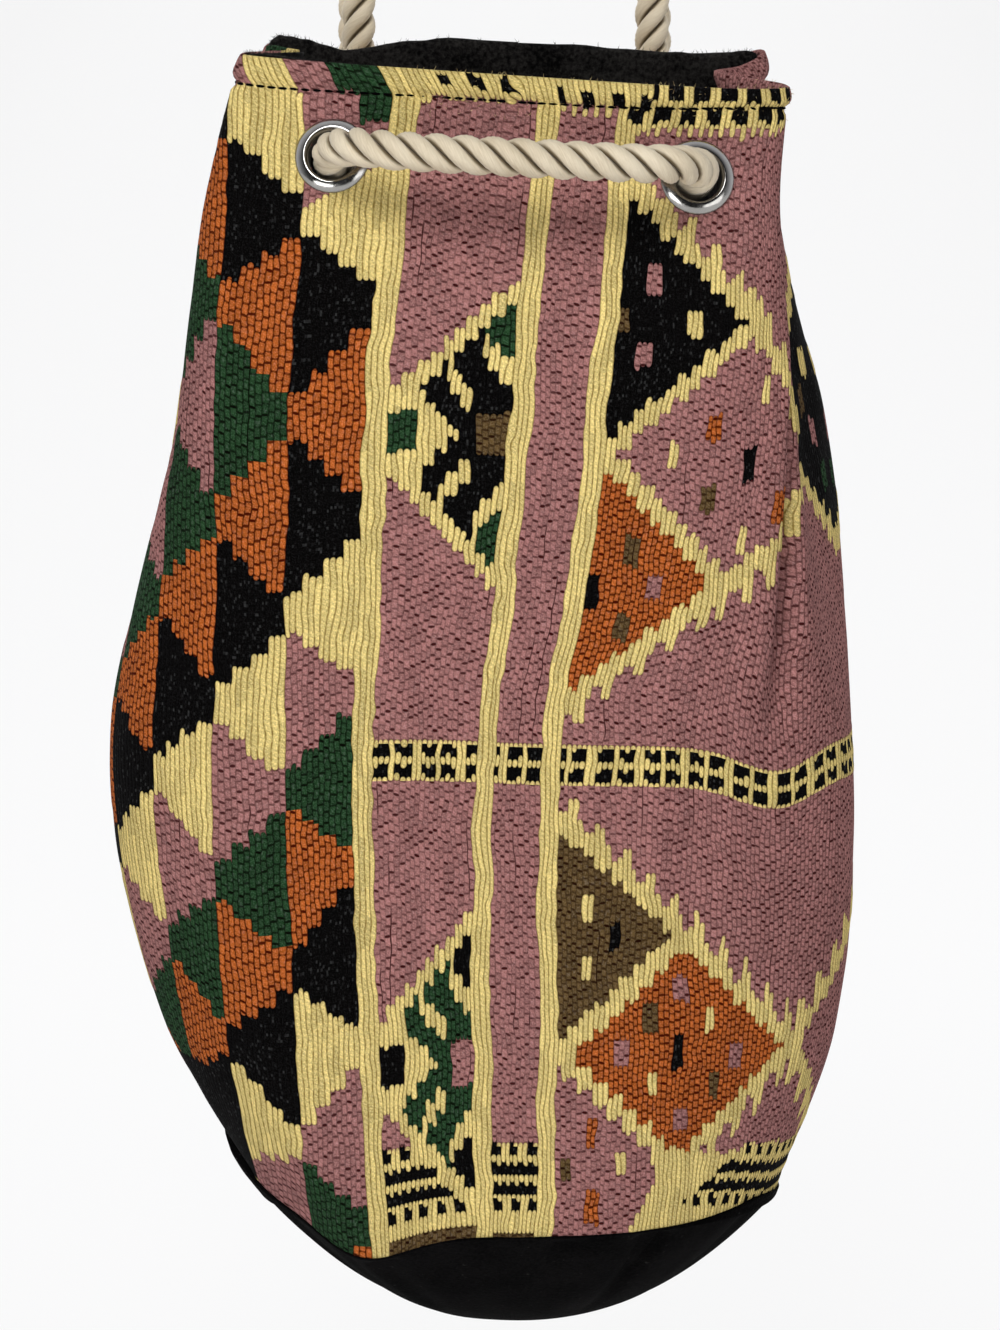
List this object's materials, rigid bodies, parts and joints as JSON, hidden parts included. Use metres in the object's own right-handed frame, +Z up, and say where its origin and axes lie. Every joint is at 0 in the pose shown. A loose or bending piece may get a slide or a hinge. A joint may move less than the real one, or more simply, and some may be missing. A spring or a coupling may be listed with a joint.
{
  "type": "woven drawstring backpack",
  "caption": "Tall soft bucket bag of patterned woven cloth with a round dark base, dark lining, metal eyelets and a twisted rope that closes the mouth and forms the straps.",
  "frame": {"origin": "hanging point: middle of the two rope loops, on the underside of the rope at their tops", "axes": "+Z up, +X to the bag's right seen from the front, +Y from front to back"},
  "size_m": [0.2528, 0.1878, 0.5541],
  "materials": {
    "woven_cloth": "heavy patterned weave, mauve ground",
    "base_cloth": "black felted cloth",
    "lining_cloth": "black lining cloth",
    "nickel": "polished nickel",
    "rope": "ecru twisted cotton"
  },
  "bodies": {
    "root": {"woven_wall": "woven_cloth", "base_panel": "base_cloth", "lining_tube": "lining_cloth", "lining_base": "lining_cloth", "eyelet_front_left": "nickel", "washer_front_left": "nickel", "eyelet_front_right": "nickel", "washer_front_right": "nickel", "eyelet_back_left": "nickel", "washer_back_left": "nickel", "eyelet_back_right": "nickel", "washer_back_right": "nickel", "eyelet_low_left": "nickel", "washer_low_left": "nickel", "eyelet_low_right": "nickel", "washer_low_right": "nickel", "rope": "rope", "rope_knot_left": "rope", "rope_knot_right": "rope"}
  },
  "joints": []
}
